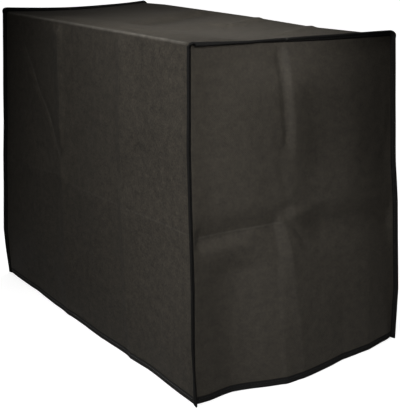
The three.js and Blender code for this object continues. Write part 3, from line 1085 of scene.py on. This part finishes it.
def seam_frame(side, along):
    station = station_at(along)
    fin_out, to_body = fin_directions(side, station)
    before = fin_place(side, station_at(along - 1), stitch_out, 0)
    after = fin_place(side, station_at(along + 1), stitch_out, 0)
    return fin_place(side, station, stitch_out, 0), (after - before).normalized(), fin_out, to_body


def hem_stitch_frame(hem_at, place):
    hem, onward, upward, facing = hem_frame(hem_at, place)
    return hem + upward * hem_stitch_up, onward, upward, facing


sewn_with = {}
seam_half = seam_tape_offset + tape_thickness / 2
for side, wall, tape in ((1, "right", right_seam_tape), (-1, "left", left_seam_tape)):
    row_end = girth_run - seam_row_inset
    sewn_with[tape] = sew(
        f"{wall}_seam_stitches", lambda along: seam_frame(side, along), seam_row_inset, row_end, seam_half
    )
hem_half = hem_tape_offset + tape_thickness / 2
for wall, (hem_at, half_run) in hem_lines.items():
    row_end = half_run - hem_stop - hem_row_inset
    sewn_with[hem_tapes[wall]] = sew(
        f"{wall}_hem_stitches", lambda place: hem_stitch_frame(hem_at, place), -row_end, row_end, hem_half
    )

# %% [markdown]
# ## The cloth's finish
# The cloth is spun-bonded: endless plastic threads are laid down like snow and welded together by a hot
# roller with rows of tiny points. Close up it is a mat of fibres with a grid of pressed dots. From a step
# away the uneven laying shows as a cloudy mottle. The tape is the same stuff in black, so the effect is
# one node group with its own scale and contrast in each material. Nodes can be wired in the editor, and
# short helpers do the same in a script: one adds a node, and one feeds a socket with a link or a plain
# value.

# %% Helpers for nodes and their sums
def add_node(tree, kind, **settings):
    node = tree.nodes.new(kind)
    for key, value in settings.items():
        setattr(node, key, value)
    return node


def feed(tree, socket, value):
    if isinstance(value, bpy.types.NodeSocket):
        tree.links.new(value, socket)
    else:
        socket.default_value = value


def calculate(tree, operation, *values, clamp=False):
    node = add_node(tree, "ShaderNodeMath", operation=operation, use_clamp=clamp)
    for socket, value in zip(node.inputs, values):
        feed(tree, socket, value)
    return node.outputs[0]


def measure(tree, operation, a, b):
    """A Vector Math node. Scale takes a number as b, and the dot product and the distance give a number."""
    node = add_node(tree, "ShaderNodeVectorMath", operation=operation)
    feed(tree, node.inputs[0], a)
    feed(tree, node.inputs["Scale"] if operation == "SCALE" else node.inputs[1], b)
    return node.outputs["Value" if operation in ("DOT_PRODUCT", "DISTANCE") else "Vector"]


print("helpers for nodes:", ", ".join(helper.__name__ for helper in (add_node, feed, calculate, measure)))

# %% [markdown]
# Two more helpers make a noise texture, which may be stretched, and a node group. A group is a small
# material part with named inputs and outputs. It is built once and placed in every material that needs
# it.

# %% Helpers for noise and groups
def noise_at(tree, place, scale, detail, stretch=(1, 1, 1)):
    stretched = measure(tree, "MULTIPLY", place, stretch)
    texture = add_node(tree, "ShaderNodeTexNoise")
    texture.inputs["Scale"].default_value = scale
    texture.inputs["Detail"].default_value = detail
    tree.links.new(stretched, texture.inputs["Vector"])
    return texture.outputs["Fac"]


def new_group(name, inputs, outputs):
    tree = bpy.data.node_groups.new(name, "ShaderNodeTree")
    for label, kind in inputs:
        tree.interface.new_socket(name=label, in_out="INPUT", socket_type=kind)
    for label, kind in outputs:
        tree.interface.new_socket(name=label, in_out="OUTPUT", socket_type=kind)
    return tree, add_node(tree, "NodeGroupInput"), add_node(tree, "NodeGroupOutput")


def place_group(tree, group, **values):
    node = add_node(tree, "ShaderNodeGroup", node_tree=group)
    for label, value in values.items():
        feed(tree, node.inputs[label.capitalize()], value)
    return node


print("helpers for groups:", ", ".join(helper.__name__ for helper in (noise_at, new_group, place_group)))

# %% [markdown]
# The spun cloth has three sizes of unevenness: clouds where more thread was laid, grains in them and
# single fibres, drawn out along the roll. The welded dots are a Voronoi texture without any randomness,
# which is a plain square grid, turned by 45 degrees. The group gives a shade for the colour and a height
# for the bump.

# %% The spun fibre group
cloud_size = 9 * mm
grain_size = 2.6 * mm
fibre_size = 0.9 * mm
fibre_stretch = (1, 0.5, 1)
cloud_detail = 3
fine_detail = 2
dot_pitch = 1.6 * mm
dot_radius = 0.28
dot_angle = math.radians(45)
cloud_height = 0.5
dot_height = -0.6


def welded_dots(tree, on_cloth):
    turned = add_node(tree, "ShaderNodeMapping")
    turned.inputs["Rotation"].default_value = (0, 0, dot_angle)
    tree.links.new(on_cloth, turned.inputs["Vector"])
    dots = add_node(tree, "ShaderNodeTexVoronoi", feature="F1")
    dots.inputs["Randomness"].default_value = 0
    dots.inputs["Scale"].default_value = 1 / dot_pitch
    tree.links.new(turned.outputs[0], dots.inputs["Vector"])
    return calculate(tree, "LESS_THAN", dots.outputs["Distance"], dot_radius)


def make_spun_fibre():
    tree, given, put_out = new_group(
        "Spun fibre",
        inputs=[("Place", "NodeSocketVector"), ("Cloud", "NodeSocketFloat"), ("Fibre", "NodeSocketFloat")],
        outputs=[("Shade", "NodeSocketFloat"), ("Height", "NodeSocketFloat")],
    )
    on_cloth = given.outputs["Place"]
    clouds = noise_at(tree, on_cloth, 1 / cloud_size, cloud_detail)
    grains = noise_at(tree, on_cloth, 1 / grain_size, fine_detail)
    fibres = noise_at(tree, on_cloth, 1 / fibre_size, fine_detail, stretch=fibre_stretch)
    cloud = calculate(tree, "SUBTRACT", calculate(tree, "ADD", clouds, grains), 1)
    cloud_shade = calculate(tree, "MULTIPLY", cloud, given.outputs["Cloud"])
    fibre = calculate(tree, "SUBTRACT", fibres, 0.5)
    fibre_shade = calculate(tree, "MULTIPLY", fibre, given.outputs["Fibre"])
    shade = calculate(tree, "ADD", calculate(tree, "ADD", cloud_shade, fibre_shade), 1)
    dotted = calculate(tree, "MULTIPLY_ADD", welded_dots(tree, on_cloth), dot_height, fibres)
    relief = calculate(tree, "MULTIPLY_ADD", clouds, cloud_height, dotted)
    tree.links.new(shade, put_out.inputs["Shade"])
    tree.links.new(relief, put_out.inputs["Height"])
    return tree


spun_fibre = make_spun_fibre()
print(spun_fibre.name, "group,", len(spun_fibre.nodes), "nodes")

# %% [markdown]
# A pressed crease is a line on the cloth as well as a fold in it. Its fibres were crushed flat, so it
# looks a little paler, and a painted highlight stands for the light that its sharp edge catches, in a
# broken line one or two millimetres wide. The soft top edges get the same mix of rubbing and painted
# highlight, and beside the seams the cloth has a faint painted highlight where it bends into the fin. A
# narrow valley is painted dark instead, as painted shade, because the light hardly reaches its bottom.
# The group below is a mask round one straight line of the flat cut, and each material has one of it for
# each of its creases.

# %% The pressed crease group
break_size = 11 * mm
break_detail = 3
break_contrast = 1.6


def make_pressed_crease():
    tree, given, put_out = new_group(
        "Pressed crease",
        inputs=[
            ("Place", "NodeSocketVector"),
            ("Start", "NodeSocketVector"),
            ("End", "NodeSocketVector"),
            ("Width", "NodeSocketFloat"),
            ("Wear", "NodeSocketFloat"),
        ],
        outputs=[("Mask", "NodeSocketFloat")],
    )
    on_cloth = given.outputs["Place"]
    away = measure(tree, "SUBTRACT", on_cloth, given.outputs["Start"])
    run = measure(tree, "SUBTRACT", given.outputs["End"], given.outputs["Start"])
    along = measure(tree, "DOT_PRODUCT", away, run)
    share = calculate(tree, "DIVIDE", along, measure(tree, "DOT_PRODUCT", run, run), clamp=True)
    nearest = measure(tree, "SCALE", run, share)
    off = calculate(tree, "DIVIDE", measure(tree, "DISTANCE", away, nearest), given.outputs["Width"])
    near = calculate(tree, "SUBTRACT", 1, off, clamp=True)
    breaks = noise_at(tree, on_cloth, 1 / break_size, break_detail)
    broken = calculate(tree, "MULTIPLY", breaks, break_contrast, clamp=True)
    # The mask is a pale line of rubbing and painted highlight in one use, and a dark line of painted shade
    # in another.
    worn = calculate(tree, "MULTIPLY", calculate(tree, "MULTIPLY", near, broken), given.outputs["Wear"])
    tree.links.new(worn, put_out.inputs["Mask"])
    return tree


pressed_crease = make_pressed_crease()
print(pressed_crease.name, "group,", len(pressed_crease.nodes), "nodes")

# %% [markdown]
# The same table that lifts the folds now says where the cloth is painted pale or dark, so that a line and
# its fold can't drift apart. To it come the two soft top edges, the palest of all, part rubbing and part
# painted highlight of the rounded edge, and a faint painted highlight beside each end seam.

# %% Where the creases lie on the flat cut
PressedLine = namedtuple("PressedLine", "start end wear width")
crease_width = 1.8
# The top edges' lines are part rubbing and part painted highlight, and the lines beside the seams are
# painted highlight.
top_edge_wear_and_highlight = dict(wear=1.3, width=2.8)
top_edge_inset = 8
seam_side_highlight = dict(wear=0.3, width=1.6)
seam_side_inset = 2


def creases_of(kind, *walls):
    """Each straight stretch, on the flat cut, of the folds with a painted line of this kind, pale or dark.
    """
    lines = []
    for wall in walls:
        for fold in folds[wall]:
            if kind in fold:
                cut = [on_the_cut(wall, *point) for point in fold["line"]]
                lines += [PressedLine(*ends, fold[kind], crease_width) for ends in zip(cut, cut[1:])]
    return lines


top_edges = [
    PressedLine((top_edge_inset, edge), (length - top_edge_inset, edge), **top_edge_wear_and_highlight)
    for edge in (wall_run + arc_run / 2, girth_run - wall_run - arc_run / 2)
]
seam_sides = (seam_side_inset, length - seam_side_inset)
beside_seams = [PressedLine((x, 0), (x, girth_run), **seam_side_highlight) for x in seam_sides]
body_creases = creases_of("worn", "front", "back", "top") + top_edges + beside_seams
print("pale lines on the body cloth", len(body_creases))

# %% [markdown]
# One function makes the material of anything spun, cloth, tape or thread. The pale lines add a grey to
# the cloth's own warm charcoal, part rubbing and part painted highlight, and the dark ones are painted
# shade, which takes some of its colour away. Each material stays a plain Principled BSDF with a bump, and
# the groups only give it masks and values.

# %% A material for anything spun
# The grey of the pale lines is part rubbing and part painted highlight on the crease edges.
wear_and_highlight_colour = (0.052, 0.05, 0.046)
roughness_swing = 0.1


def crease_mask(tree, cut_map, lines):
    mask = calculate(tree, "ADD", 0, 0)
    for line in lines:
        start, end = (Vector((*point, 0)) * mm for point in (line.start, line.end))
        sizes = dict(start=start, end=end, width=line.width * mm, wear=line.wear)
        pressed = place_group(tree, pressed_crease, place=cut_map, **sizes)
        mask = calculate(tree, "MAXIMUM", mask, pressed.outputs["Mask"])
    return mask


def sheet_material(name, colour, roughness, cloud, fibre, bump, worn=(), dark=(), specular=0.25):
    material = bpy.data.materials.new(name)
    material.use_nodes = True
    tree = material.node_tree
    shader = tree.nodes["Principled BSDF"]
    cut_map = add_node(tree, "ShaderNodeUVMap", uv_map="cut").outputs[0]
    spun = place_group(tree, spun_fibre, place=cut_map, cloud=cloud, fibre=fibre)
    # The dark lines take painted shade off the colour.
    shade = calculate(tree, "SUBTRACT", spun.outputs["Shade"], crease_mask(tree, cut_map, dark))
    tint = measure(tree, "SCALE", colour, shade)
    # The pale lines add their grey, part rubbing and part painted highlight.
    lightened = measure(tree, "SCALE", wear_and_highlight_colour, crease_mask(tree, cut_map, worn))
    tree.links.new(measure(tree, "ADD", tint, lightened), shader.inputs["Base Color"])
    dull = calculate(tree, "MULTIPLY_ADD", spun.outputs["Height"], roughness_swing, roughness)
    tree.links.new(dull, shader.inputs["Roughness"])
    relief = add_node(tree, "ShaderNodeBump")
    relief.inputs["Strength"].default_value = 1
    relief.inputs["Distance"].default_value = bump
    tree.links.new(spun.outputs["Height"], relief.inputs["Height"])
    tree.links.new(relief.outputs[0], shader.inputs["Normal"])
    shader.inputs["Specular IOR Level"].default_value = specular
    return material


print("spun sheets vary by", roughness_swing, "in roughness")

# %% [markdown]
# The three cloths are cut from one roll. The ends look a little more even than the body cloth, and each
# has its own lines. A faint sheen stands for the loose fibres on top, which catch the light where the
# cloth is seen almost edge on.

# %% The cloth's materials
cloth_colour = (0.0426, 0.0366, 0.0278)
cloth_finish = dict(roughness=0.65, specular=0.4, bump=0.15 * mm)
sheen = {"Sheen Weight": 0.015, "Sheen Roughness": 0.45, "Sheen Tint": (1, 0.96, 0.9, 1)}
body_mottle = dict(cloud=1.35, fibre=0.9)
end_mottle = dict(cloud=0.8, fibre=0.45)
cloth_pieces = [
    (body_cloth, "body", ("front", "back", "top"), body_creases, body_mottle),
    (right_end_cloth, "right end", ("right",), creases_of("worn", "right"), end_mottle),
    (left_end_cloth, "left end", ("left",), creases_of("worn", "left"), end_mottle),
]
for piece, place_name, walls, worn, mottle in cloth_pieces:
    dark = creases_of("dark", *walls)
    material = sheet_material(
        f"{place_name} cloth, spun charcoal", cloth_colour, worn=worn, dark=dark, **mottle, **cloth_finish
    )
    for label, value in sheen.items():
        material.node_tree.nodes["Principled BSDF"].inputs[label].default_value = value
    piece.data.materials.append(material)
    print(material.name, "with", len(worn), "pale and", len(dark), "dark lines")

# %% [markdown]
# The seam tape is the blackest, and where the cover was folded a pale line crosses it on top, a painted
# highlight of the fold. The hem tapes are a little greyer. The front one is a paler copy of them, painted
# lighter for the light that falls on the front hem, and its thread is painted light grey for the
# highlights on its stitches. A stitch has no flat cut of its own, so the same material gives its thread
# one even shade with no lines on it.

# %% The tape and thread materials
# The pale line across the seam tape is a painted highlight of the fold that crosses it.
fold_highlight_across_tape = [PressedLine((0, 490), (20, 490), wear=0.8, width=1.6)]
tape_finish = dict(roughness=0.75, specular=0.1, cloud=0.3, fibre=0.5, bump=0.12 * mm)
seam_tape_material = sheet_material(
    "seam tape, spun black", (0.0095, 0.0092, 0.0088), worn=fold_highlight_across_tape, **tape_finish
)
hem_tape_material = sheet_material("hem tape, spun black", (0.014, 0.0138, 0.0136), **tape_finish)
# The front hem tape and its thread are lighter copies, painted light for the light on the front hem.
lit_front_hem_material = sheet_material("front hem tape, rubbed grey", (0.029, 0.0286, 0.028), **tape_finish)
thread_finish = dict(roughness=0.6, cloud=0.1, fibre=0.3, bump=0.02 * mm)
thread_material = sheet_material("sewing thread, dark grey", (0.02, 0.02, 0.02), **thread_finish)
lit_front_thread_material = sheet_material("front hem thread, light grey", (0.16, 0.158, 0.15), **thread_finish)
for tape, thread in sewn_with.items():
    at_front = tape == hem_tapes["front"]
    other_tape = hem_tape_material if tape in hem_tapes.values() else seam_tape_material
    tape.data.materials.append(lit_front_hem_material if at_front else other_tape)
    thread.data.materials.append(lit_front_thread_material if at_front else thread_material)
print("materials", len(bpy.data.materials))

# %% [markdown]
# ## The flat pattern
# The body cloth is the girth of the cover by its length, with 5 mm of allowance at each end. The tapes
# are strips of 13 to 18 mm, folded in half along their length.

# %% [markdown]
# ## The studio
# The cover stands on a white sweep. A dark cloth takes twenty times the light of white paper, so a
# photographer lights the two apart. Here the floor glows softly for the camera alone and throws no light
# on the cloth, and only the corner where the cover touches it is a little darker. Is Camera Ray tells the
# material which rays come from the camera, and ambient occlusion darkens the corner.

# %% Floor
floor_reach = 15
floor_glow = 1.03
contact_shade = 0.4
contact_reach = 0.12
corner_glow = floor_glow - contact_shade
floor_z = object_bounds()[0].z

bm = bmesh.new()
bmesh.ops.create_grid(bm, x_segments=1, y_segments=1, size=floor_reach)
bmesh.ops.translate(bm, vec=(0, 0, floor_z), verts=bm.verts)
floor_mesh = bpy.data.meshes.new("floor")
bm.to_mesh(floor_mesh)
bm.free()
floor = bpy.data.objects.new("floor", floor_mesh)
scene.collection.objects.link(floor)


def paint_floor():
    paint = bpy.data.materials.new("white sweep")
    paint.use_nodes = True
    tree = paint.node_tree
    shader = tree.nodes["Principled BSDF"]
    shader.inputs["Base Color"].default_value = (0.5, 0.5, 0.5, 1)
    shader.inputs["Roughness"].default_value = 1
    shader.inputs["Specular IOR Level"].default_value = 0
    shader.inputs["Emission Color"].default_value = (1, 1, 1, 1)
    seen = add_node(tree, "ShaderNodeLightPath").outputs["Is Camera Ray"]
    corner = add_node(tree, "ShaderNodeAmbientOcclusion", samples=8)
    corner.inputs["Distance"].default_value = contact_reach
    glow = calculate(tree, "MULTIPLY_ADD", corner.outputs["AO"], contact_shade, corner_glow)
    tree.links.new(calculate(tree, "MULTIPLY", seen, glow), shader.inputs["Emission Strength"])
    return paint


floor_mesh.materials.append(paint_floor())
print("the floor lies at", round(floor_z, 3), "m")

# %% [markdown]
# The world is white to the camera in the same way. To everything else it is as dim as a room with its
# lights off, so that no side of the cover falls to full black.

# %% World
world_light = 0.02
world = bpy.data.worlds.new("world")
scene.world = world
world.use_nodes = True
background = world.node_tree.nodes["Background"]
background.inputs["Color"].default_value = (1, 1, 1, 1)
seen = add_node(world.node_tree, "ShaderNodeLightPath").outputs["Is Camera Ray"]
strength = calculate(world.node_tree, "MAXIMUM", seen, world_light)
world.node_tree.links.new(strength, background.inputs["Strength"])
print("world light", world_light)

# %% [markdown]
# ## The lamps
# The cover is brightest beside its near corner and grows darker to both far edges. One large softbox
# would light it evenly, so it has small spot lamps instead, each with the softest edge that a spot can
# have. A stretched lamp throws a tall oval. Light from a grazing angle shows the folds best.

# %% A soft spot lamp
lamp_radius = 0.1


def soft_spot(name, place, aim, half_angle, tall, power):
    data = bpy.data.lights.new(name, "SPOT")
    data.spot_size = math.radians(2 * half_angle)
    data.spot_blend = 1
    data.shadow_soft_size = lamp_radius
    data.energy = power
    lamp = bpy.data.objects.new(name, data)
    scene.collection.objects.link(lamp)
    lamp.location = place
    lamp.rotation_euler = (Vector(aim) - Vector(place)).to_track_quat("-Z", "Y").to_euler()
    lamp.scale = (1, tall, 1)
    lamp.visible_camera = False


print("a soft spot is", 2 * lamp_radius, "m wide")

# %% [markdown]
# The corner lamp stands close to the near corner. The front and end lamps carry its light on to the two
# walls and down to their feet. The high lamp lights the top, and the grazing one skims over it, so that
# its valley shows. The back lamp stands low behind, because the cover has to read as well from its other
# sides.

# %% Lamps
near_corner = (0.25, -0.12, -0.14)
front_wall = (0.12, -0.145, -0.12)
front_foot = (0.22, -0.145, -0.26)
end_foot = (0.25, 0.03, -0.28)
back_corner = (-0.2, 0.12, -0.16)
top_middle = (0.08, 0, 0)
valley = (-0.02, 0.04, 0)
soft_spot("corner lamp", (0.55, -0.38, 0.1), near_corner, half_angle=28, tall=1.4, power=8.8)
soft_spot("front lamp", (0.3, -0.75, 0.2), front_wall, half_angle=32, tall=1.4, power=3.5)
soft_spot("front foot lamp", (0.3, -0.55, -0.22), front_foot, half_angle=20, tall=1.2, power=1.9)
soft_spot("end foot lamp", (0.85, 0, -0.25), end_foot, half_angle=22, tall=1, power=2.4)
soft_spot("high lamp", (0.3, -0.3, 0.5), top_middle, half_angle=25, tall=1, power=20)
soft_spot("grazing lamp", (0.55, -0.1, 0.14), valley, half_angle=12, tall=1, power=11)
soft_spot("back lamp", (-0.62, 0.66, -0.14), back_corner, half_angle=33, tall=1, power=60)
scene.view_settings.view_transform = "Standard"

# %% [markdown]
# The number of pieces is printed last: the three cloths, and six tapes with their rows of stitches.

print("pieces", len(sewn_with) * 2 + len(cloth_pieces))
